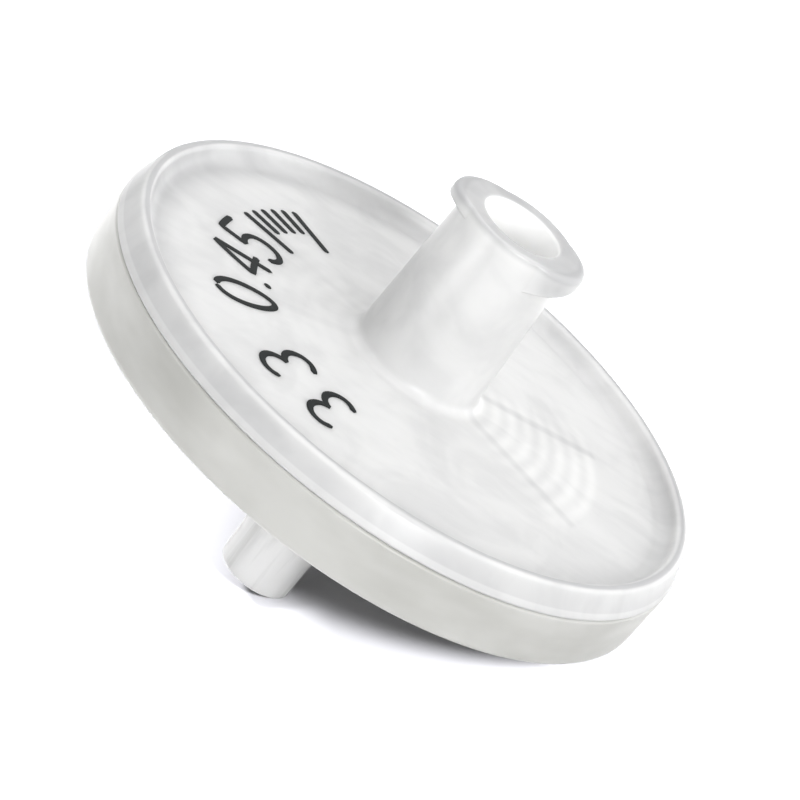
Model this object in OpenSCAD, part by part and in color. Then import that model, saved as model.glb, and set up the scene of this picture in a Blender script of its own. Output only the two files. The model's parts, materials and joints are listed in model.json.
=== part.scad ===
// Disc syringe filter: an inlet half with a female luer hub, an outlet half with a male luer
// tip, and a membrane clamped between them. The two halves are welded at the seam round the disc.
//
// Each piece is drawn about the flow axis, with the outlet half's base at z = 0 and the inlet
// upwards. at_rest() then lays all of them down together, as the filter comes to rest: on the
// edge of its disc and the end of its outlet tip.

/* [Disc] */
// Largest diameter of the disc, at the weld seam
disc_d = 33; // [28:0.5:45]
// Height of the outlet half's side wall, from the base to the seam
seam_h = 3.15; // [3.1:0.05:5]
// Height of the rim's crest above the seam
rim_h = 1.6; // [1.5:0.05:3]
// How far the side wall leans in from the seam to the base
side_draft = 0.12; // [0:0.01:0.3]
// Radius of the edge round the base
base_edge_r = 0.4; // [0.2:0.05:0.8]
// Small chamfer on each half at the seam
seam_chamfer = 0.1; // [0.05:0.01:0.15]
// How far the middle of the rim's crest lies inside the largest radius
crest_inset = 0.75; // [0.5:0.05:1]
// Radius of the rounded crest
crest_r = 0.35; // [0.2:0.05:0.45]

/* [Plate] */
// Depth of the plate's outer edge below the rim's crest
well_depth = 0.9; // [0.6:0.05:1.05]
// Radius of the hollow fillet where the plate meets the rim
well_fillet = 0.9; // [0.3:0.05:1.2]
// How much the plate rises from its outer edge to the hub
plate_rise = 0.5; // [0.2:0.05:0.9]
// Thickness of the plate
plate_t = 1.1; // [0.8:0.05:1.3]

/* [Inlet hub] */
// Height of the hub's mouth above the plate's outer edge
hub_len = 9.6; // [9.1:0.05:14]
// Outer diameter of the hub at its mouth
hub_d = 6.25; // [6:0.05:6.9]
// Draft of the hub's outer wall, on the radius
hub_draft = 0.04; // [0.03:0.005:0.05]
// Diameter of the female luer socket at its mouth
socket_d = 4.3; // [4.27:0.005:4.32]
// Depth of the socket
socket_depth = 7.6; // [7.5:0.1:8]
// Diameter of the feed bore below the socket
feed_d = 2.4; // [1.5:0.1:3]
// Radius of the fillet at the hub's foot
hub_fillet = 0.7; // [0.3:0.05:1]
// Radius of the edges of the hub's mouth
mouth_edge_r = 0.15; // [0.05:0.01:0.25]
// Distance across the two lugs
lug_d = 7.8; // [7.7:0.01:7.83]
// Radius of a lug's outline seen along the flow axis
lug_bow_r = 2.4; // [2.2:0.05:2.6]
// Height of a lug at the middle of its outer edge
lug_edge_h = 0.9; // [0.7:0.05:1.1]
// Height of a lug where its middle meets the hub
lug_root_h = 1.2; // [1.1:0.05:1.6]
// Lead of the screw thread that the lugs' undersides follow
lug_lead = 5; // [4:0.1:6]
// Chamfer of a lug's top edge
lug_chamfer = 0.25; // [0.1:0.05:0.35]
// Direction of the lugs round the flow axis
lug_turn = -37; // [-90:1:90]

/* [Outlet tip] */
// Length of the outlet tip below the base
tip_len = 9.85; // [8:0.05:13]
// Diameter of the male luer tip at its end
tip_d = 3.96; // [3.93:0.01:3.99]
// Diameter of the outlet bore
outlet_bore_d = 2.1; // [1.2:0.1:2.6]
// Radius of the fillet at the tip's root
tip_fillet = 0.6; // [0.2:0.05:1]
// Radius of the tip's end edge
tip_edge_r = 0.2; // [0.1:0.05:0.3]
// Taper of both luers, on the diameter
luer_taper = 0.06; // [0.059:0.001:0.061]

/* [Chamber] */
// Width of the weld wall round the chamber
cup_wall = 1.6; // [1.4:0.1:2]
// Radial clearance between the inlet half's skirt and the weld wall
skirt_clearance = 0.05; // [0.03:0.01:0.1]
// Height of the seat that the membrane lies on
seat_h = 2.2; // [2:0.05:2.4]
// Width of the clamped edge of the membrane
clamp_w = 2; // [1.5:0.1:3]
// Thickness of the membrane
membrane_t = 0.15; // [0.1:0.01:0.2]
// Thickness of the outlet half's floor
floor_t = 1.2; // [1:0.05:1.4]
// Height of the support ribs on the floor
support_h = 0.5; // [0.3:0.05:0.5]
// Gap between the membrane and the ribs below the plate
rib_gap = 0.2; // [0.1:0.05:0.25]

/* [Ribs] */
// Number of radial ribs in the inlet half, and of drain channels in the outlet half
rib_count = 8; // [4:1:12]
// Direction of the first radial rib round the flow axis
rib_turn = 0; // [0:1:45]
// Width of a radial rib
rib_w = 0.4; // [0.3:0.05:0.8]
// Width of a drain channel
channel_w = 0.9; // [0.6:0.1:1.4]
// Radius at which the radial ribs and the rings start
ring_start = 3.6; // [3:0.1:5]
// Distance from one ring to the next
ring_pitch = 0.98; // [0.8:0.02:1.4]
// Width of a ring
ring_w = 0.45; // [0.3:0.05:0.6]

/* [Lie] */
// Turn of the whole filter about its flow axis as it lies
lie_turn = 12.9; // [0:0.1:45]

/* [Hidden] */
$fn = 180;
translucent = [0.91, 0.91, 0.89];
clear = [0.86, 0.88, 0.87];
white = [0.97, 0.97, 0.95];
sink = 0.05;                         // how far a rib or lug reaches into the wall it stands on

seam_r = disc_d / 2;
base_r = seam_r - side_draft;
crest_h = seam_h + rim_h;
crest_mid = seam_r - crest_inset;
plate_edge_h = crest_h - well_depth;

// The rim is one smooth outline: straight from the seam, over the crest, into the hollow fillet
band_dr = seam_r - crest_mid;
band_dh = crest_h - crest_r - seam_h - seam_chamfer;
crest_from = acos(crest_r / sqrt(band_dr * band_dr + band_dh * band_dh)) - atan2(band_dh, band_dr);
fillet_dh = plate_edge_h + well_fillet - (crest_h - crest_r);
fillet_dr = sqrt(pow(well_fillet + crest_r, 2) - fillet_dh * fillet_dh);
fillet_mid = crest_mid - fillet_dr;
fillet_turn = atan2(fillet_dh, fillet_dr);

half_taper = luer_taper / 2;
hub_h = plate_edge_h + hub_len;
hub_r = hub_d / 2;
plate_hub_h = plate_edge_h + plate_rise;
hub_foot_r = hub_r + hub_draft * (hub_h - plate_hub_h - hub_fillet);
socket_r = socket_d / 2;
socket_end_r = socket_r - half_taper * socket_depth;
feed_r = feed_d / 2;
lug_r = lug_d / 2;
lug_foot_r = (socket_r + hub_r) / 2;
lug_pitch = atan(lug_lead / (PI * lug_d));
lug_flank = (lug_root_h - lug_edge_h) / (lug_r - hub_r);

tip_r = tip_d / 2;
outlet_bore_r = outlet_bore_d / 2;
floor_h = seat_h - support_h;
under_h = floor_h - floor_t;         // underside of the floor, recessed above the base
tip_root_r = tip_r + half_taper * (tip_len + under_h - tip_fillet);

cup_r = seam_r - cup_wall;
skirt_r = cup_r - skirt_clearance;
chamber_r = skirt_r - clamp_w;
clamp_h = seat_h + membrane_t;
rib_end_h = clamp_h + rib_gap;
ring_count = floor((chamber_r - ring_start) / ring_pitch) - 1;
rib_end_r = ring_start + (ring_count - 0.5) * ring_pitch;

// The lie: a line that touches the base's edge and the tip's end edge is the floor
edge_dr = (base_r - base_edge_r) - (tip_r - tip_edge_r);
edge_dh = base_edge_r + tip_len - tip_edge_r;
edge_gap = sqrt(edge_dr * edge_dr + edge_dh * edge_dh);
lean = atan2(edge_dh, edge_dr) + asin((tip_edge_r - base_edge_r) / edge_gap);
lift = (base_r - base_edge_r) * sin(lean) - base_edge_r * cos(lean) + base_edge_r;
far_x = crest_mid * cos(lean) + (crest_h - crest_r) * sin(lean) + crest_r;
near_x = base_edge_r * sin(lean) - (base_r - base_edge_r) * cos(lean) - base_edge_r;

// Points of an arc about [x, y], from one angle to another
function arc(x, y, r, from, to, steps = 8) =
    [for (i = [0 : steps]) let (a = from + (to - from) * i / steps) [x + r * cos(a), y + r * sin(a)]];

// Lays a piece down, with the middle of the filter's footprint at the origin
module at_rest() {
    translate([-(far_x + near_x) / 2, 0, lift]) rotate([0, lean, 0]) rotate([0, 0, lie_turn]) children();
}

// Rings about the flow axis, one ring_pitch apart
module rings(low, high) {
    for (i = [0 : ring_count - 1])
        translate([0, 0, low])
            rotate_extrude()
                translate([ring_start + i * ring_pitch, 0]) square([ring_w, high - low]);
}

// Straight bars from one radius to another, evenly round the flow axis
module spokes(width, from, to, low, high) {
    for (i = [0 : rib_count - 1])
        rotate([0, 0, rib_turn + i * 360 / rib_count])
            translate([from, -width / 2, low]) cube([to - from, width, high - low]);
}

// One lug at the hub's mouth: a crescent round the hub, cut off below by a slope that climbs
// round the hub as a screw thread does
module lug(turn) {
    rotate([0, 0, turn]) intersection() {
        difference() {
            translate([lug_r - lug_bow_r, 0, 0])
                rotate_extrude()
                    polygon([
                        [0, 0],
                        [lug_bow_r, 0],
                        [lug_bow_r, hub_h - lug_chamfer],
                        [lug_bow_r - lug_chamfer, hub_h],
                        [0, hub_h]
                    ]);
            translate([0, 0, -lug_d]) cylinder(r = lug_foot_r, h = hub_h + 2 * lug_d);
        }
        translate([0, 0, hub_h - lug_edge_h])
            rotate([lug_pitch, 0, 0])
                rotate_extrude()
                    polygon([
                        [0, -lug_flank * lug_r],
                        [lug_d, lug_flank * (lug_d - lug_r)],
                        [lug_d, lug_d],
                        [0, lug_d]
                    ]);
    }
}

module inlet_shell() {
    rotate_extrude()
        polygon(concat(
            [[feed_r, plate_hub_h - plate_t]],
            [[hub_foot_r, plate_hub_h - plate_t]],
            [[chamber_r, plate_edge_h - plate_t]],
            [[chamber_r, clamp_h]],
            [[skirt_r, clamp_h]],
            [[skirt_r, seam_h]],
            [[seam_r - seam_chamfer, seam_h]],
            [[seam_r, seam_h + seam_chamfer]],
            arc(crest_mid, crest_h - crest_r, crest_r, crest_from, 180 - fillet_turn),
            arc(fillet_mid, plate_edge_h + well_fillet, well_fillet, -fillet_turn, -90),
            arc(hub_foot_r + hub_fillet, plate_hub_h + hub_fillet, hub_fillet, 270, 180),
            arc(hub_r - mouth_edge_r, hub_h - mouth_edge_r, mouth_edge_r, 0, 90, 3),
            arc(socket_r + mouth_edge_r, hub_h - mouth_edge_r, mouth_edge_r, 90, 180, 3),
            [[socket_end_r, hub_h - socket_depth]],
            [[feed_r, hub_h - socket_depth]]
        ));
}

module inlet_housing() {
    color(translucent) at_rest() {
        inlet_shell();
        lug(lug_turn);
        lug(lug_turn + 180);
        rings(rib_end_h, plate_hub_h - plate_t + sink);
        spokes(rib_w, ring_start, rib_end_r, rib_end_h, plate_hub_h - plate_t + sink);
    }
}

module outlet_shell() {
    rotate_extrude()
        polygon(concat(
            [[outlet_bore_r, -tip_len]],
            arc(tip_r - tip_edge_r, -tip_len + tip_edge_r, tip_edge_r, -90, 0, 4),
            arc(tip_root_r + tip_fillet, under_h - tip_fillet, tip_fillet, 180, 90),
            [[cup_r, under_h]],
            [[cup_r, 0]],
            arc(base_r - base_edge_r, base_edge_r, base_edge_r, -90, 0),
            [[seam_r, seam_h - seam_chamfer]],
            [[seam_r - seam_chamfer, seam_h]],
            [[cup_r, seam_h]],
            [[cup_r, seat_h]],
            [[chamber_r, seat_h]],
            [[chamber_r, floor_h]],
            [[outlet_bore_r, floor_h]]
        ));
}

module outlet_housing() {
    color(clear) at_rest() {
        outlet_shell();
        difference() {
            rings(floor_h - sink, seat_h);
            spokes(channel_w, 0, chamber_r, floor_h, seat_h + sink);
        }
    }
}

module membrane() {
    color(white) at_rest()
        translate([0, 0, seat_h]) cylinder(r = skirt_r, h = membrane_t);
}

inlet_housing();
outlet_housing();
membrane();
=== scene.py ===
"""Looks of a disc syringe filter: two translucent housing halves, the membrane and the print."""
import json
import math

import bpy
import numpy as np
from mathutils import Matrix, Vector


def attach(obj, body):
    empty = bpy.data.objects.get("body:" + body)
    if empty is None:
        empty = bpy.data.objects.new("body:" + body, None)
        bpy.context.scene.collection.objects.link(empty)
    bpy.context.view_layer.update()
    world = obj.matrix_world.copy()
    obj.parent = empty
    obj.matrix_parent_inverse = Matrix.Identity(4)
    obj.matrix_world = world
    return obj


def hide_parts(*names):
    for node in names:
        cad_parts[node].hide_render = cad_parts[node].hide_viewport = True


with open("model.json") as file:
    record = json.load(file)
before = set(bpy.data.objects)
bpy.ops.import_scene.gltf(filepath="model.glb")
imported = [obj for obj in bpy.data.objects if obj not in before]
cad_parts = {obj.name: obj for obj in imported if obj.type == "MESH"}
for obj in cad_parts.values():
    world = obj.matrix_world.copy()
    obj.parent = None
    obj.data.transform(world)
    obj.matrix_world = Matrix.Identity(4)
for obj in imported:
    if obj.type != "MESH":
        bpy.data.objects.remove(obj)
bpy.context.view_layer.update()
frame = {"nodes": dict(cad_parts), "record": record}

MM = 0.001

# ---- Sizes, in millimetres, about the flow axis: z = 0 at the outlet half's base, inlet upwards ----
DISC_R = 16.5                        # at the seam
BASE_R = 16.38                       # at the base, before its rounded edge
BASE_EDGE = 0.4
SEAM_H = 3.15
SEAM_CHAMFER = 0.1
CREST_H = 4.75
CREST_MID = 15.75                    # radius of the middle of the rim's crest
CREST_R = 0.35
PLATE_EDGE_H = 3.85
PLATE_HUB_H = 4.35
PLATE_T = 1.1
WELL_FILLET = 0.9                    # the hollow fillet between the plate and the crest
WELL_FOOT_R = 14.55                  # about where that fillet meets the plate

HUB_H = 13.45
HUB_R = 3.125
HUB_DRAFT = 0.04
HUB_FILLET = 0.7
SOCKET_R = 2.15
SOCKET_DEPTH = 7.6
FEED_R = 1.2
LUG_R = 3.9
LUG_BOW_R = 2.4                      # radius of a lug's outline seen along the flow axis
LUG_EDGE_H = 0.9                     # height of a lug at its edge
LUG_ROOT_H = 1.2                     # and where it meets the hub
LUG_LEAST_H = 0.5
LUG_LEAST_DROP = 0.05                # least fall of a lug's underside from its edge to its root
LUG_LEAD = 5.0                       # climb of a lug's underside in one full turn
LUG_TURN = -24.1                     # degrees from downhill to the middle of a lug
LUG_BLEND = 0.08                     # how softly a lug's ends fade into the hub

TIP_LEN = 9.85
TIP_R = 1.98
BORE_R = 1.05
TIP_FILLET = 0.6
TIP_EDGE = 0.2
HALF_TAPER = 0.03                    # a luer's radius grows by this share of its length

CUP_R = 14.9
SKIRT_R = 14.85
CHAMBER_R = 12.85
SEAT_H = 2.2                         # the membrane's seat, level with the support rings
CLAMP_H = 2.35                       # the end of the skirt that clamps the membrane
RIB_END_H = 2.55                     # the lower ends of the ribs and rings under the plate
FLOOR_H = 1.7                        # the cup's floor inside, between the support rings
UNDER_H = 0.5                        # the cup's floor outside, above the base
RIB_COUNT = 8
RIB_TURN = 12.9                      # degrees from downhill to the first rib
RIB_W = 0.4
CHANNEL_W = 0.9
RING_START = 3.6
RING_PITCH = 0.98
RING_W = 0.45
RING_COUNT = 8
RING_DRAFT = 0.03                    # sideways run of a ring's or a rib's wall

HUB_FOOT_R = HUB_R + HUB_DRAFT * (HUB_H - PLATE_HUB_H - HUB_FILLET)
SOCKET_END_R = SOCKET_R - HALF_TAPER * SOCKET_DEPTH
TIP_ROOT_R = TIP_R + HALF_TAPER * (TIP_LEN + UNDER_H - TIP_FILLET)
RIB_END_R = RING_START + (RING_COUNT - 0.5) * RING_PITCH

# How far corners of the mouldings are cut back before they are rounded
SEAM_CUT = 0.03
CRISP_CUT = 0.05
BAND_CUT = 0.06
SOFT_CUT = 0.1
BORE_CUT = 0.15
MOUTH_CUT = 0.18
CUP_CUT = 0.2
LUG_MOUTH_CUT = 0.43                 # at the mouth's outer edge, on a lug
LUG_END_CUT = 0.02                   # under the lugs, where they fade into the hub

SECTOR = 360.0 / RIB_COUNT           # degrees from one rib to the next
SECTOR_COLUMNS = 60                  # columns of a surface in one sector
BAR_COLUMNS = 6                      # of them, those that follow a rib or a channel
NEAR = 0.001


# ---- Where the filter lies ----
mounts = {mount["name"]: mount for mount in frame["record"]["mounts"]}
flow = Vector(mounts["inlet_luer"]["axis"]).normalized()
across = Vector((0.0, 1.0, 0.0))
downhill = across.cross(flow)
base_middle = Vector(mounts["outlet_luer"]["pos_m"]) + flow * TIP_LEN * MM
LYING = np.array([downhill, across, flow]) * MM


def lay_down(points):
    """Places points given about the flow axis: base middle + x downhill + y across + z along the flow."""
    return points @ LYING + np.array(base_middle)


# ---- Surfaces ----
def parabola_corner(before, corner, after, cut, steps):
    """Rounds one corner: (1-t)^2 a + 2 t (1-t) corner + t^2 b, with a and b `cut` before and after it."""
    back = before - corner
    on = after - corner
    start = corner + cut * back / np.linalg.norm(back, axis=-1, keepdims=True)
    end = corner + cut * on / np.linalg.norm(on, axis=-1, keepdims=True)
    t = np.linspace(0.0, 1.0, steps)[:, None, None]
    return (1 - t) ** 2 * start + 2 * t * (1 - t) * corner + t ** 2 * end


def outline(corners, steps=5):
    """Closed outlines as (row, column, [r, z]), from corners (r, z, cut).

    Each of the three is a number or one value a column. A corner with a cut of 0 stays one point.
    """
    width = max(np.size(value) for corner in corners for value in corner)
    places = [np.stack([np.broadcast_to(value, width) for value in (r, z)], axis=-1) for r, z, _ in corners]
    runs = []
    for i, place in enumerate(places):
        cut = np.asarray(corners[i][2])[..., None]
        if cut.any():
            runs.append(parabola_corner(places[i - 1], place, places[(i + 1) % len(places)], cut, steps))
        else:
            runs.append(place[None])
    return np.concatenate(runs)


def arc(r, z, radius, start, end, steps=9):
    """Corners along an arc: (r + radius cos a, z + radius sin a), with a from start to end in degrees."""
    a = np.radians(np.linspace(start, end, steps))
    return [(r + radius * math.cos(x), z + radius * math.sin(x), 0) for x in a]


def column_angles(r, on_ribs, width):
    """Angle of each column at each outline point, in degrees.

    Plain columns are even. On the ribs' face the first six of each sector follow a straight bar of
    `width`: two feet, just outside its walls, and four on the bar, at asin(offset / r) from its line.
    """
    plain = (np.arange(SECTOR_COLUMNS) - (BAR_COLUMNS - 1) / 2) * SECTOR / SECTOR_COLUMNS
    foot = width / 2 + RING_DRAFT
    offsets = np.array([-foot, -width / 2, -width / 6, width / 6, width / 2, foot])
    bar = np.degrees(np.arcsin(np.clip(offsets / r[:, None], -1, 1)))
    gap_steps = SECTOR_COLUMNS - BAR_COLUMNS + 1
    share = np.arange(1, gap_steps) / gap_steps
    gap = bar[:, -1:] + share * (SECTOR - 2 * bar[:, -1:])
    locked = np.concatenate([bar, gap], axis=1)
    sector = np.where(on_ribs[:, None], locked, plain)
    turns = RIB_TURN + np.arange(RIB_COUNT) * SECTOR
    return (turns[None, :, None] + sector[:, None, :]).reshape(len(r), -1)


def on_bar():
    """1 for the columns that lie on a radial bar, 0 for the others."""
    sector = np.zeros(SECTOR_COLUMNS)
    sector[1:BAR_COLUMNS - 1] = 1.0
    return np.tile(sector, RIB_COUNT)


def ring_of(points, angles):
    """Turns (r, z) about the flow axis: x = r cos a, y = r sin a."""
    r, z = points[..., 0], points[..., 1]
    a = np.radians(angles)
    return np.stack([r * np.cos(a), r * np.sin(a), np.broadcast_to(z, a.shape)], axis=-1)


def grid_faces(rows, columns):
    """Quads of a grid that closes both ways."""
    row, column = np.meshgrid(np.arange(rows), np.arange(columns), indexing="ij")
    here = row * columns
    below = (row + 1) % rows * columns
    beside = (column + 1) % columns
    return np.stack([here + column, here + beside, below + beside, below + column], axis=-1).reshape(-1, 4)


def closed_piece(name, points, faces, sharp_angle=32.0):
    """A mesh object from points about the flow axis, which it also keeps in its `own` attribute."""
    mesh = bpy.data.meshes.new(name)
    mesh.from_pydata(lay_down(points), [], faces)
    own = mesh.attributes.new("own", "FLOAT_VECTOR", "POINT")
    own.data.foreach_set("vector", points.astype(np.float32).ravel())
    mesh.shade_smooth()
    mesh.set_sharp_from_angle(angle=math.radians(sharp_angle))
    mesh.validate()
    piece = bpy.data.objects.new(name, mesh)
    bpy.context.scene.collection.objects.link(piece)
    return piece


def ring_corners(low, high):
    """Corners along a ribbed face, outwards: up and down the sloped walls of each ring."""
    corners = []
    for i in range(RING_COUNT):
        start = RING_START + i * RING_PITCH
        end = start + RING_W
        corners += [
            (start - RING_DRAFT, low(start), 0), (start, high, 0),
            (end, high, 0), (end + RING_DRAFT, low(end), 0),
        ]
    return corners


# ---- Inlet half ----
def plate_under(r):
    """Height of the plate's underside, which falls evenly from the hub to the chamber's wall."""
    share = (r - HUB_FOOT_R) / (CHAMBER_R - HUB_FOOT_R)
    return PLATE_HUB_H - PLATE_T + (PLATE_EDGE_H - PLATE_HUB_H) * share


def rim_corners():
    """The rim's outline: a straight band from the seam, the round crest, then the hollow fillet."""
    band_dr = DISC_R - CREST_MID
    band_dh = CREST_H - CREST_R - SEAM_H - SEAM_CHAMFER
    lean = math.acos(CREST_R / math.hypot(band_dr, band_dh)) - math.atan2(band_dh, band_dr)
    fillet_dh = PLATE_EDGE_H + WELL_FILLET - (CREST_H - CREST_R)
    fillet_dr = math.sqrt((WELL_FILLET + CREST_R) ** 2 - fillet_dh ** 2)
    turn = math.degrees(math.atan2(fillet_dh, fillet_dr))
    crest = arc(CREST_MID, CREST_H - CREST_R, CREST_R, math.degrees(lean), 180 - turn, steps=14)
    fillet = arc(CREST_MID - fillet_dr, PLATE_EDGE_H + WELL_FILLET, WELL_FILLET, -turn, -90, steps=10)
    return crest + fillet[1:]


def from_nearer_lug(off):
    """Angles from the middle of the nearer lug, in radians, from degrees off the middle of the first."""
    return np.radians((off + 90.0) % 180.0 - 90.0)


def lug_edge(off):
    """Radius of the lugs' edge: a circle of LUG_BOW_R off the axis, blended into the hub at its ends."""
    a = from_nearer_lug(off)
    shift = LUG_R - LUG_BOW_R
    edge = shift * np.cos(a) + np.sqrt(LUG_BOW_R ** 2 - (shift * np.sin(a)) ** 2)
    proud = edge - HUB_R
    return HUB_R + (proud + np.sqrt(proud ** 2 + LUG_BLEND ** 2)) / 2


def lug_under(r, off):
    """Height of the lugs' underside: a flank that falls towards the hub, and climbs as a thread does."""
    a = from_nearer_lug(off)
    flank = (LUG_ROOT_H - LUG_EDGE_H) / (LUG_R - HUB_R)
    return HUB_H - LUG_EDGE_H + flank * (r - LUG_R) + r * np.sin(a) * LUG_LEAD / (2 * math.pi * LUG_R)


def inlet_corners(off):
    """The inlet half's outline, outwards along its underside and back over the rim, hub and socket.

    `off` is each column's angle from the middle of the lugs.
    """
    edge_r = lug_edge(off)
    edge_h = np.minimum(lug_under(edge_r, off), HUB_H - LUG_LEAST_H)
    root_h = np.minimum(lug_under(HUB_R, off), edge_h - LUG_LEAST_DROP)
    root_r = HUB_R + HUB_DRAFT * (HUB_H - root_h)
    lower_r = np.maximum(edge_r, HUB_R + HUB_DRAFT * (HUB_H - edge_h))
    on_lug = np.clip((edge_r - HUB_R) / (LUG_R - HUB_R), 0, 1)
    lug_cut = LUG_END_CUT + (SOFT_CUT - LUG_END_CUT) * on_lug
    mouth_cut = MOUTH_CUT + (LUG_MOUTH_CUT - MOUTH_CUT) * on_lug
    return (
        [(FEED_R, PLATE_HUB_H - PLATE_T, SOFT_CUT)]
        + ring_corners(plate_under, RIB_END_H)
        + [
            (CHAMBER_R, plate_under(CHAMBER_R), SOFT_CUT),
            (CHAMBER_R, CLAMP_H, CRISP_CUT),
            (SKIRT_R, CLAMP_H, SOFT_CUT),
            (SKIRT_R, SEAM_H, CRISP_CUT),
            (DISC_R - SEAM_CHAMFER, SEAM_H, SEAM_CUT),
            (DISC_R, SEAM_H + SEAM_CHAMFER, BAND_CUT),
        ]
        + rim_corners()
        + arc(HUB_FOOT_R + HUB_FILLET, PLATE_HUB_H + HUB_FILLET, HUB_FILLET, 270, 180)
        + [
            (root_r, root_h, lug_cut),
            (lower_r, edge_h, lug_cut),
            (edge_r, HUB_H, mouth_cut),
            (SOCKET_R, HUB_H, MOUTH_CUT),
            (SOCKET_END_R, HUB_H - SOCKET_DEPTH, BORE_CUT),
            (FEED_R, HUB_H - SOCKET_DEPTH, BORE_CUT),
        ]
    )


def make_inlet():
    """The outline turned about the flow axis, with lugs by the column and straight ribs of even height.

    Midway between the lugs the outline has none of them, and there it tells which rows are the ribs'.
    """
    midway = 90.0
    plain = outline(inlet_corners(midway))[:, 0]
    r, z = plain.T
    ribbed = (r > RING_START - NEAR) & (r < RIB_END_R)
    ribbed &= (z > CLAMP_H + NEAR) & (z < PLATE_HUB_H - PLATE_T + NEAR)
    angles = column_angles(r, ribbed, RIB_W)
    even = column_angles(r[:1], np.array([False]), RIB_W)[0]
    section = outline(inlet_corners(even - LUG_TURN))
    bars = ribbed[:, None] & (on_bar() > 0)[None, :]
    section[..., 1] = np.where(bars, RIB_END_H, section[..., 1])
    points = ring_of(section, angles)
    return closed_piece("inlet_shell", points.reshape(-1, 3), grid_faces(*angles.shape))


# ---- Outlet half ----
def outlet_corners():
    """The outlet half's outline, down the bore, up the tip and round the cup, and back over the rings."""
    rings = ring_corners(lambda r: FLOOR_H, SEAT_H)
    return (
        [(BORE_R, FLOOR_H, SOFT_CUT), (BORE_R, -TIP_LEN, BORE_CUT)]
        + arc(TIP_R - TIP_EDGE, -TIP_LEN + TIP_EDGE, TIP_EDGE, -90, 0, steps=8)
        + arc(TIP_ROOT_R + TIP_FILLET, UNDER_H - TIP_FILLET, TIP_FILLET, 180, 90, steps=8)
        + [(CUP_R, UNDER_H, CUP_CUT), (CUP_R, 0, BORE_CUT)]
        + arc(BASE_R - BASE_EDGE, BASE_EDGE, BASE_EDGE, -90, 0)
        + [
            (DISC_R, SEAM_H - SEAM_CHAMFER, BAND_CUT),
            (DISC_R - SEAM_CHAMFER, SEAM_H, SEAM_CUT),
            (CUP_R, SEAM_H, CRISP_CUT),
            (CUP_R, SEAT_H, CRISP_CUT),
            (CHAMBER_R, SEAT_H, CRISP_CUT),
            (CHAMBER_R, FLOOR_H, SOFT_CUT),
        ]
        + rings[::-1]
    )


def make_outlet():
    """One outline turned about the flow axis, with the rings cut through by straight drain channels."""
    plain = outline(outlet_corners())[:, 0]
    r, z = plain.T
    ribbed = (z >= FLOOR_H) & (r > RING_START - RING_DRAFT - NEAR) & (r < RIB_END_R)
    angles = column_angles(r, ribbed, CHANNEL_W)
    section = np.repeat(plain[:, None, :], angles.shape[1], axis=1)
    channels = ribbed[:, None] & (on_bar() > 0)[None, :]
    section[..., 1] = np.where(channels, FLOOR_H, section[..., 1])
    points = ring_of(section, angles)
    return closed_piece("outlet_shell", points.reshape(-1, 3), grid_faces(*angles.shape))


# ---- Print on the plate ----
STROKE_W = 0.42
STROKE_STEPS = 48
STROKE_SIDES = 10
STROKE_END = 0.015                   # width left at a stroke's very end, as a share of the whole
INK_T = 0.03
FIGURE_H = 3.3
FIGURE_W = 2.1
FIGURE_FOOT_R = 8.3
SCALE_START = 150.0                  # degrees of the scale's first bar
SCALE_PITCH = 4.2


def plate_top(r):
    """Height of the plate's top: an even fall from the hub's fillet to the rim's."""
    inner = HUB_FOOT_R + HUB_FILLET
    return PLATE_HUB_H + (PLATE_EDGE_H - PLATE_HUB_H) * (r - inner) / (WELL_FOOT_R - inner)


def curve_through(points, count):
    """Evenly spaced points along a chain of points, by their share of its length."""
    points = np.array(points, float)
    run = np.concatenate([[0], np.cumsum(np.linalg.norm(np.diff(points, axis=0), axis=1))])
    share = np.linspace(0, run[-1], count)
    return np.stack([np.interp(share, run, points[:, 0]), np.interp(share, run, points[:, 1])], axis=1)


def bow(x, y, wide, high, start, end, steps=24):
    """Points on an ellipse's arc: (x + wide cos a, y + high sin a)."""
    a = np.radians(np.linspace(start, end, steps))
    return [(x + wide * math.cos(b), y + high * math.sin(b)) for b in a]


# Each figure is a few pen strokes in a cell 1 wide and 1 high
FIGURES = {
    "0": [bow(0.5, 0.5, 0.40, 0.5, 90, 450, 40)],
    "3": [bow(0.45, 0.74, 0.36, 0.26, 150, -80) + bow(0.45, 0.25, 0.42, 0.25, 80, -150)],
    "4": [[(0.66, 0.0), (0.66, 1.0), (0.05, 0.30), (0.98, 0.30)]],
    "5": [[(0.86, 1.0), (0.22, 1.0), (0.16, 0.56)] + bow(0.44, 0.31, 0.43, 0.31, 125, -150)],
    ".": [[(0.40, 0.02), (0.60, 0.10)]],
    "|": [[(0.5, 0.0), (0.5, 1.0)]],
    "'": [[(0.5, 0.42), (0.5, 1.0)]],
}


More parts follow.
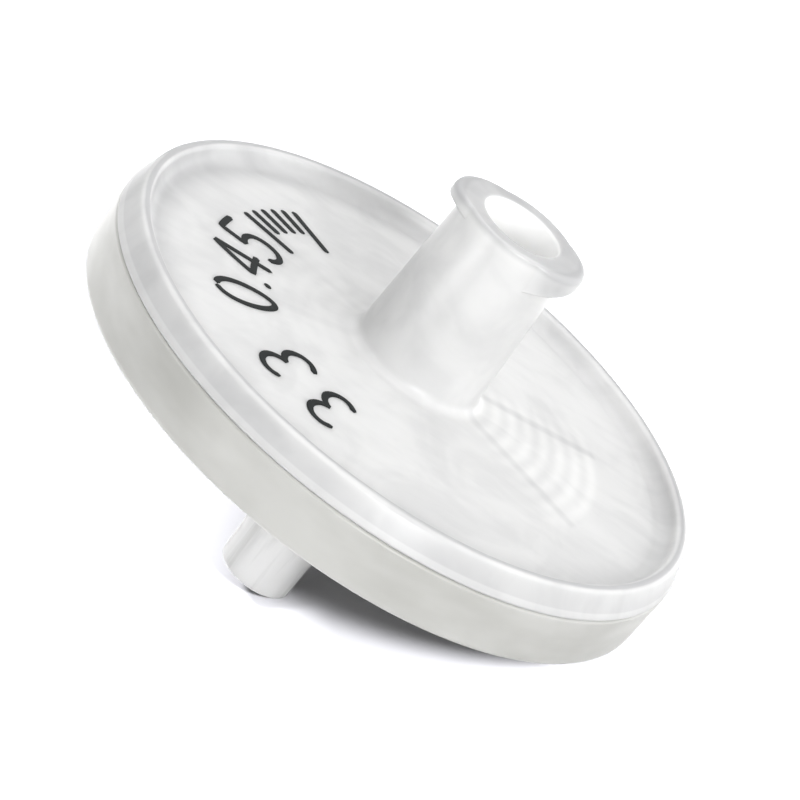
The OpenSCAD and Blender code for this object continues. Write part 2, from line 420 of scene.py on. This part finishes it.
def stroke_points(path, middle_angle):
    """A pen stroke on the plate: a flat oval bead along the path, closed by rounded ends."""
    line = curve_through(path, STROKE_STEPS)
    r = FIGURE_FOOT_R + line[:, 1] * FIGURE_H
    a = np.radians(middle_angle) - (line[:, 0] - 0.5) * FIGURE_W / (FIGURE_FOOT_R + FIGURE_H / 2)
    centre = np.stack([r * np.cos(a), r * np.sin(a), plate_top(r)], axis=1)
    along = np.gradient(centre, axis=0)
    along /= np.linalg.norm(along, axis=1)[:, None]
    up = np.array([0.0, 0.0, 1.0])
    side = np.cross(up, along)
    side /= np.linalg.norm(side, axis=1)[:, None]
    step = np.arange(STROKE_STEPS)
    from_end = np.minimum(step, step[::-1]) / (STROKE_STEPS - 1)
    length = np.linalg.norm(np.diff(centre, axis=0), axis=1).sum()
    reach = np.clip(from_end * length / (STROKE_W / 2), 0, 1)
    full = np.sqrt(1 - (1 - reach) ** 2) * (1 - STROKE_END) + STROKE_END
    turn = np.radians(np.arange(STROKE_SIDES) * 360 / STROKE_SIDES)
    wide = side[:, None, :] * (np.cos(turn)[None, :] * full[:, None] * STROKE_W / 2)[..., None]
    tall = up * (np.sin(turn)[None, :] * full[:, None] * INK_T / 2)[..., None]
    return centre[:, None, :] + wide + tall


def tube_faces(rows, columns, first):
    """Quads of a tube with a flat face at each end, from points numbered from `first`."""
    row, column = np.meshgrid(np.arange(rows - 1), np.arange(columns), indexing="ij")
    here = row * columns
    ahead = here + columns
    beside = (column + 1) % columns
    quads = np.stack([here + column, here + beside, ahead + beside, ahead + column], axis=-1)
    ring = np.arange(columns)
    ends = [tuple(first + ring[::-1]), tuple(first + (rows - 1) * columns + ring)]
    return [tuple(quad) for quad in quads.reshape(-1, 4) + first] + ends


def make_print():
    """Two groups of plain figures and a short scale of bars, read clockwise round the hub.

    Each mark has the angle of its middle, in degrees from downhill.
    """
    placed = [("3", 243), ("3", 225), ("0", 196), (".", 185), ("4", 176), ("5", 162)]
    placed += [(bar, SCALE_START - SCALE_PITCH * i) for i, bar in enumerate("|''''|")]
    points = []
    faces = []
    for mark, angle in placed:
        for path in FIGURES[mark]:
            bead = stroke_points(path, angle)
            faces += tube_faces(STROKE_STEPS, STROKE_SIDES, len(points) * STROKE_STEPS * STROKE_SIDES)
            points.append(bead.reshape(-1, 3))
    return closed_piece("printed_figures", np.concatenate(points), faces, sharp_angle=80.0)


# ---- Finishes ----
class Value:
    """A number that varies over a surface; sums and products of values add the nodes that work them out."""

    def __init__(self, finish, socket):
        self.finish = finish
        self.socket = socket

    def math(self, operation, *others, first=None):
        """A Math node on this value, then the others; `first` goes before it."""
        given = [self, *others] if first is None else [first, self, *others]
        return self.finish.node("ShaderNodeMath", {"operation": operation}, dict(enumerate(given)))

    def __add__(self, other):
        return self.math("ADD", other)

    def __sub__(self, other):
        return self.math("SUBTRACT", other)

    def __rsub__(self, other):
        return self.math("SUBTRACT", first=other)

    def __mul__(self, other):
        return self.math("MULTIPLY", other)

    def __pow__(self, other):
        return self.math("POWER", other)

    __radd__ = __add__
    __rmul__ = __mul__

    def step(self, low, high):
        """0 below low, 1 above high, smooth between; low may be the higher one."""
        settings = {"interpolation_type": "SMOOTHSTEP", "clamp": True}
        inputs = {"Value": self, "From Min": low, "From Max": high}
        return self.finish.node("ShaderNodeMapRange", settings, inputs)

    def between(self, low, high):
        """low where this value is 0, high where it is 1, and in proportion between."""
        return self * (high - low) + low

    def line(self, middle, half):
        """A soft line: 1 at the middle, fading to 0 at `half` to each side."""
        return (self - middle).math("ABSOLUTE").step(half, 0.0)


class Finish:
    """The nodes of a material, or of the room, being made. `node` is the one way that a node is added."""

    def __init__(self, owner):
        owner.use_nodes = True
        self.owner = owner
        self.tree = owner.node_tree
        self.tree.nodes.clear()

    def node(self, kind, settings, inputs, output=0):
        """Adds a node, sets it, gives its sockets their values or links, and returns one of its outputs."""
        made = self.tree.nodes.new(kind)
        for name, setting in settings.items():
            setattr(made, name, setting)
        for name, given in inputs.items():
            if isinstance(given, Value):
                self.tree.links.new(given.socket, made.inputs[name])
            else:
                made.inputs[name].default_value = given
        return Value(self, made.outputs[output]) if made.outputs else None

    def own(self):
        """Place about the flow axis, in millimetres."""
        return self.node("ShaderNodeAttribute", {"attribute_name": "own"}, {}, "Vector")

    def parts(self, vector):
        """x, y and z of a vector, as three values."""
        return [self.node("ShaderNodeSeparateXYZ", {}, {"Vector": vector}, axis) for axis in "XYZ"]

    def stretched(self, vector, scale, turn=0.0):
        """A vector turned about the flow axis by `turn` degrees and scaled, for marks that run one way."""
        inputs = {"Vector": vector, "Rotation": (0, 0, math.radians(turn)), "Scale": scale}
        return self.node("ShaderNodeMapping", {}, inputs)

    def noise(self, vector, scale=1.0, detail=3.0, rough=0.5, swirl=0.0):
        """Soft random clouds, from 0 to 1."""
        inputs = {"Vector": vector, "Scale": scale, "Detail": detail, "Roughness": rough}
        return self.node("ShaderNodeTexNoise", {}, inputs | {"Distortion": swirl})

    def blend(self, share, first, second):
        """A colour between two, by a share. Sockets 6 and 7 are the Mix node's two colours."""
        return self.node("ShaderNodeMix", {"data_type": "RGBA"}, {"Factor": share, 6: first, 7: second}, 2)

    def bump(self, height):
        """Waves WAVE_H high that follow a value."""
        return self.node("ShaderNodeBump", {}, {"Height": height, "Distance": WAVE_H})

    def rays(self, kind):
        """1 for one kind of light ray, 0 for the others."""
        return self.node("ShaderNodeLightPath", {}, {}, f"Is {kind} Ray")

    def surface(self, **inputs):
        """A principled surface, with its sockets' names spelt with underscores; gives the material."""
        named = {name.replace("_", " "): given for name, given in inputs.items()}
        shader = self.node("ShaderNodeBsdfPrincipled", {}, named)
        self.node("ShaderNodeOutputMaterial", {}, {"Surface": shader})
        return self.owner


def new_material(name):
    """A finish for a new material."""
    return Finish(bpy.data.materials.new(name))


PALE = (0.94, 0.94, 0.93, 1)
# painted light on the socket's wall
SOCKET_LIGHT = (0.98, 0.98, 0.97, 1)
GREY = (0.45, 0.452, 0.46, 1)
WARM_GREY = (0.45, 0.45, 0.425, 1)
TIP_CLEAR = (0.99, 0.99, 0.98, 1)
TIP_STREAK = (0.80, 0.80, 0.79, 1)
SHEET_WHITE = (0.96, 0.96, 0.94, 1)
SHEET_SHADE = (0.90, 0.90, 0.88, 1)
INK = (0.008, 0.010, 0.010, 1)
THIN_INK = (0.028, 0.032, 0.034, 1)

WAVE_H = 0.01 * MM
PLASTIC_IOR = 1.49
PLASTIC_SPREAD = (1.0, 1.0, 0.97)    # how far red, green and blue light spread in the plastic, as shares
SATIN = (0.29, 0.37)                 # least and most roughness of the housing's faces
GLOSS = (0.06, 0.12)                 # and of the tip's
PRINT_SHEEN = (0.6, 0.75)            # and of the ink's

# How grey each inlet part is, as shares of the way from PALE to GREY; from the hollow to the lip, painted
# shade
BODY_GREY = 0.44
CLOUD_GREY = 0.18
CLOUD_SHARE = 0.7                    # of the clouding; the rest is brushed flow marks
HOLLOW_SHADE = 0.21
HOLLOW_UPHILL = 0.009                # more painted shade in the hollow for each millimetre uphill
HOLLOW_SPAN = (13.0, 15.2)           # radii between which the hollow's painted shade comes in
CREST_SHADE = 0.75
EDGE_SHADE = 0.8
EDGE_SPAN = (2.0, 12.0)              # y between which the painted shade on the crest's outer edge comes in
SIDE_SHADE = 0.19
LUG_SHADE = 0.30
LIP_SHADE = 0.36
PLATE_PALER = 0.06
OUTLET_SHADE_AND_STREAKS = (0.73, 0.93)          # of the outlet half: painted shade varied by streaks, as shares of the way from PALE to WARM_GREY

# Painted shade and light by which the ribs and rings under the plate show through it
RIBS_SHOWN_TURN = -8.0                    # degrees from downhill to where the painted ribs show most
RIBS_SHOWN_SPAN = (0.80, 0.97)            # cosines of the angle off it, between which they come in
OPPOSITE_SPAN = (-0.75, -0.95)       # and those between which they come in a little, opposite
RIBS_SHOWN_OPPOSITE = 0.25
RIBS_SHOWN_ELSEWHERE = 0.1
RIB_SHADE = 0.22                     # painted shade that a rib adds where the ribs show
RIB_FADE = (0.50, 0.08)              # millimetres off a rib's middle line: none of that grey, and all
GAP_SHADE = 0.13                     # painted shade that a gap between two rings adds
RING_PALER = 0.16                    # painted light: grey taken away over ribs, rings and gaps alike


def polymer(finish, own, colour, roughness, spread, wave_scale=0.7, **more):
    """A natural polymer: light spreads through it for `spread` millimetres.

    Slow waves lie on its face, and its roughness goes with them between the two that are given.
    """
    slow = finish.noise(own, wave_scale, detail=2.0)
    return finish.surface(
        Base_Color=colour,
        Roughness=slow.between(*roughness),
        IOR=PLASTIC_IOR,
        Subsurface_Weight=1.0,
        Subsurface_Radius=PLASTIC_SPREAD,
        Subsurface_Scale=spread * MM,
        Normal=finish.bump(slow),
        **more,
    )


def clouding(finish, own):
    """Soft clouds and brushed flow marks, as one value from 0 to 1."""
    clouds = finish.noise(own, scale=0.22, swirl=1.2).step(0.38, 0.66)
    brushed = finish.noise(finish.stretched(own, (0.35, 1.3, 0.6), turn=35.0), scale=0.9).step(0.4, 0.7)
    return clouds * CLOUD_SHARE + brushed * (1 - CLOUD_SHARE)


def where_ribs_painted(turn, r):
    """Where the ribs' painted shade and light show: most to one side, a little opposite, faintly elsewhere.
    """
    facing = ((turn - RIBS_SHOWN_TURN) * (math.pi / 180)).math("COSINE")
    over_ribs = r.step(RING_START - 0.4, RING_START + 0.2) * r.step(RIB_END_R + 0.5, RIB_END_R)
    opposite = facing.step(*OPPOSITE_SPAN) * RIBS_SHOWN_OPPOSITE
    return over_ribs * (facing.step(*RIBS_SHOWN_SPAN) + opposite + RIBS_SHOWN_ELSEWHERE)


def painted_rib_shade(turn, r):
    """Painted shade and light by which the ribs and the gaps between the rings show through the plate.

    (1 - cos(2 pi (r - middle of a ring) / pitch)) / 2 is 0 over a ring and 1 over a gap. The angle is kept
    above 0 by two whole turns.
    """
    off_rib = (turn + (720.0 - RIB_TURN)).math("PINGPONG", SECTOR / 2) * r * (math.pi / 180)
    gaps = 0.5 - ((r - (RING_START + RING_W / 2)) * (2 * math.pi / RING_PITCH)).math("COSINE") * 0.5
    return off_rib.step(*RIB_FADE) * RIB_SHADE + gaps * GAP_SHADE - RING_PALER


def inlet_plastic():
    """Natural polymer, from pale to grey by a sum of shares.

    Clouds lie over all of it. Painted shade greys the hollow inside the rim, most of all uphill, and also
    the crest, the rim's side, the lugs, the lip, and the crest's outer edge on the +y side. The plate is a
    little paler, and painted shade and light show the ribs below it. The socket's wall is painted bright.
    """
    finish = new_material("inlet_plastic")
    own = finish.own()
    x, y, z = finish.parts(own)
    r = (x * x + y * y) ** 0.5
    turn = y.math("ARCTAN2", x) * (180 / math.pi)
    outside = z.step(PLATE_EDGE_H - 0.3, PLATE_EDGE_H - 0.2)
    plate = outside * z.step(CREST_H, PLATE_HUB_H + 0.3) * r.step(CREST_MID, CREST_MID - 0.4)
    # painted shade in the hollow inside the rim, where shade falls
    hollow = outside * r.step(*HOLLOW_SPAN) * r.step(CREST_MID - 0.13, CREST_MID - 0.27)
    # painted shade: a dark line along the crest
    crest = z.step(CREST_H - 0.25, CREST_H - 0.1) * r.line(CREST_MID, 0.25)
    # painted shade: a dark outline along the crest's outer edge, on the +y side only
    edge = z.step(CREST_H - 0.35, CREST_H - 0.25) * r.line(CREST_MID + 0.25, 0.2) * y.step(*EDGE_SPAN)
    # painted shade on the rim's outer side
    side = outside * r.step(CREST_MID + 0.1, CREST_MID + 0.4)
    # painted shade on the lugs
    lugs = r.step(HUB_R, HUB_R + 0.5) * z.step(HUB_H - 2.2, HUB_H - 0.8)
    # painted shade on the lip round the socket's mouth
    lip = z.step(HUB_H - 0.5, HUB_H - 0.1)
    # painted light: the socket's wall made bright where its recess lies in shade
    socket = z.step(HUB_H - SOCKET_DEPTH, HUB_H - SOCKET_DEPTH + 1.0) * r.step(SOCKET_R + 0.1, SOCKET_R)
    # painted shade and light showing the ribs under the plate
    below = where_ribs_painted(turn, r) * painted_rib_shade(turn, r)
    grey = BODY_GREY + clouding(finish, own) * CLOUD_GREY + hollow * (HOLLOW_SHADE - x * HOLLOW_UPHILL)
    grey = grey + crest * CREST_SHADE + edge * EDGE_SHADE + side * SIDE_SHADE
    grey = grey + lugs * LUG_SHADE + lip * LIP_SHADE + plate * (below - PLATE_PALER)
    colour = finish.blend(socket, finish.blend(grey, PALE, GREY), SOCKET_LIGHT)
    return polymer(finish, own, colour, SATIN, spread=1.0)


def outlet_plastic():
    """The same polymer in a thick wall: greyer all over as painted shade, with slow streaks along the side.
    """
    finish = new_material("outlet_plastic")
    own = finish.own()
    streaks = finish.noise(finish.stretched(own, (0.14, 0.14, 0.35))).step(0.35, 0.7)
    # painted shade: the whole half greyer, varied by the streaks
    colour = finish.blend(streaks.between(*OUTLET_SHADE_AND_STREAKS), PALE, WARM_GREY)
    return polymer(finish, own, colour, SATIN, spread=0.5)


def tip_plastic():
    """The tip's plastic: glossy, thin enough to let light through, with faint streaks along it."""
    finish = new_material("tip_plastic")
    own = finish.own()
    streaks = finish.noise(finish.stretched(own, (1.5, 1.5, 0.12))).step(0.5, 0.68)
    colour = finish.blend(streaks, TIP_CLEAR, TIP_STREAK)
    return polymer(finish, own, colour, GLOSS, spread=2.0, wave_scale=0.9, Transmission_Weight=0.1)


def membrane_sheet():
    """White porous sheet: matt, with a fine felt of pores."""
    finish = new_material("membrane_sheet")
    place = finish.node("ShaderNodeTexCoord", {}, {}, "Object")
    felt = finish.noise(place, scale=2500.0, detail=6.0, rough=0.7)
    colour = finish.blend(felt, SHEET_WHITE, SHEET_SHADE)
    return finish.surface(Base_Color=colour, Roughness=0.9, Normal=finish.bump(felt))


def printing_ink():
    """Pad-printed ink: near black, a little thin and uneven."""
    finish = new_material("printing_ink")
    thin = finish.noise(finish.own(), scale=1.7, detail=4.0).step(0.55, 0.75)
    return finish.surface(
        Base_Color=finish.blend(thin, INK, THIN_INK),
        Roughness=thin.between(*PRINT_SHEEN),
        Specular_IOR_Level=0.15,
    )


# ---- Pieces ----
inlet = make_inlet()
inlet.data.materials.append(inlet_plastic())
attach(inlet, "root")
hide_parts("inlet_housing")

outlet = make_outlet()
outlet.data.materials.append(outlet_plastic())
outlet.data.materials.append(tip_plastic())
centres = np.empty(len(outlet.data.polygons) * 3, np.float32)
outlet.data.polygons.foreach_get("center", centres)
along_flow = (centres.reshape(-1, 3) - np.array(base_middle)) @ np.array(flow) / MM
outlet.data.polygons.foreach_set("material_index", (along_flow < UNDER_H - TIP_FILLET).astype(np.int32))
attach(outlet, "root")
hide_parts("outlet_housing")

membrane = frame["nodes"]["membrane"]
membrane.data.materials.clear()
membrane.data.materials.append(membrane_sheet())

figures = make_print()
figures.data.materials.append(printing_ink())
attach(figures, "root")


# ---- Studio ----
ROOM_LIGHT = 0.22
LAMP_REACH = 0.6                     # metres
LAMPS_ABOUT = Vector((0, 0, 0.01))   # about the middle of the filter
FLOOR_REACH = 0.28                   # the floor ends where the lamps still light it white
FLOOR_SEEN = (0.45, 0.45, 0.474, 1)
FLOOR_MIRRORED = (0.6, 0.6, 0.6, 1)
FLOOR_LIGHTING = (0.07, 0.07, 0.07, 1)
# Name, way from the filter, width in metres, and levels on the inlet half, the outlet half and the floor
LAMPS = [
    ("key", (0.26, -0.84, 0.47), 0.06, 0.10, 0.10, 4.3),
    ("high", (-0.41, -0.10, 0.90), 0.16, 0.12, 0.12, 2.35),
    ("low", (0.34, -0.92, 0.14), 0.18, 0.52, 0.55, 0.0),
    ("top", (0.50, 0.10, 0.86), 0.60, 0.36, 0.36, 0.0),
    ("left", (-0.80, -0.55, 0.20), 0.25, 0.30, 0.31, 0.0),
    ("right", (0.88, -0.45, 0.10), 0.50, 0.48, 0.42, 0.0),
    ("back", (0.0, 0.75, 0.66), 0.50, 0.24, 0.24, 0.0),
    ("far_left", (-0.80, 0.60, 0.10), 0.50, 0.18, 0.36, 0.0),
    ("far_right", (0.95, 0.25, 0.12), 0.50, 0.22, 0.22, 0.0),
    ("behind", (0.10, 0.98, 0.15), 0.40, 0.0, 0.40, 0.0),
]


def make_floor():
    """A floor that shows only the filter's deep shadow, and throws little light back at the filter."""
    mesh = bpy.data.meshes.new("floor")
    x, y = FLOOR_REACH * np.array([[-1, 1, 1, -1], [-1, -1, 1, 1]])
    mesh.from_pydata(np.stack([x, y, 0 * x], axis=-1), [], [(0, 1, 2, 3)])
    floor = bpy.data.objects.new("floor", mesh)
    bpy.context.scene.collection.objects.link(floor)
    finish = new_material("floor")
    mirrored = finish.rays("Glossy") + finish.rays("Transmission")
    unseen = finish.blend(mirrored, FLOOR_LIGHTING, FLOOR_MIRRORED)
    colour = finish.blend(finish.rays("Camera"), unseen, FLOOR_SEEN)
    shader = finish.node("ShaderNodeBsdfDiffuse", {}, {"Color": colour})
    finish.node("ShaderNodeOutputMaterial", {}, {"Surface": shader})
    mesh.materials.append(finish.owner)
    return floor


def make_room():
    """An even white room; it is plain white where it is seen, and softer where it only lights."""
    world = bpy.data.worlds.new("room")
    bpy.context.scene.world = world
    finish = Finish(world)
    strength = 1.0 - finish.rays("Diffuse") * (1.0 - ROOM_LIGHT)
    background = finish.node("ShaderNodeBackground", {}, {"Color": (1, 1, 1, 1), "Strength": strength})
    finish.node("ShaderNodeOutputWorld", {}, {"Surface": background})


def add_softbox(name, way, side, level, lit):
    """A square lamp that lights the objects `lit`; at level 1 it shows colours that face it as written."""
    lamp = bpy.data.lights.new(name, "AREA")
    lamp.shape = "SQUARE"
    lamp.size = side
    lamp.energy = level * (math.pi * LAMP_REACH) ** 2
    box = bpy.data.objects.new(name, lamp)
    way = Vector(way).normalized()
    box.location = LAMPS_ABOUT + way * LAMP_REACH
    box.rotation_euler = way.to_track_quat("Z", "Y").to_euler()
    box.light_linking.receiver_collection = bpy.data.collections.new(name + "_lights")
    for thing in lit:
        box.light_linking.receiver_collection.objects.link(thing)
    bpy.context.scene.collection.objects.link(box)


CAMERA_AZIMUTH = 1.06                # degrees, as the next two are
CAMERA_ELEVATION = 28.78
CAMERA_ROLL = -0.4
CAMERA_REACH = 0.25                  # metres
CAMERA_TARGET = Vector((0.105, 0, 8)) * MM
AIM_RIGHT = 0.35 * MM                # how far beside and above the target the camera points
AIM_UP = 2.44 * MM
LENS = 229.3                         # millimetres, as the sensor's width is
SENSOR_W = 36.0


def add_camera():
    """A long lens a quarter of a metre away, looking down at 29 degrees."""
    azimuth = math.radians(CAMERA_AZIMUTH)
    elevation = math.radians(CAMERA_ELEVATION)
    right = Vector((math.cos(azimuth), math.sin(azimuth), 0))
    level_back = Vector((math.sin(azimuth), -math.cos(azimuth), 0))
    back = level_back * math.cos(elevation) + Vector((0, 0, math.sin(elevation)))
    up = back.cross(right)
    place = CAMERA_TARGET + back * CAMERA_REACH
    aim = CAMERA_TARGET + right * AIM_RIGHT + up * AIM_UP
    facing = (place - aim).normalized()
    side = up.cross(facing).normalized()
    over = facing.cross(side)
    roll = Matrix.Rotation(math.radians(CAMERA_ROLL), 3, "Z")
    turned = Matrix((side, over, facing)).transposed() @ roll
    data = bpy.data.cameras.new("camera")
    data.sensor_width = SENSOR_W
    data.lens = LENS
    data.clip_start = 0.01
    camera = bpy.data.objects.new("camera", data)
    camera.matrix_world = Matrix.Translation(place) @ turned.to_4x4()
    bpy.context.scene.collection.objects.link(camera)
    bpy.context.scene.camera = camera


add_camera()
make_room()
groups = {"inlet": [inlet, membrane, figures], "outlet": [outlet], "floor": [make_floor()]}
for lamp, way, side, *levels in LAMPS:
    for (group, lit), level in zip(groups.items(), levels):
        if level:
            add_softbox(f"{lamp}_on_{group}", way, side, level, lit)
bpy.context.scene.view_settings.view_transform = "Standard"
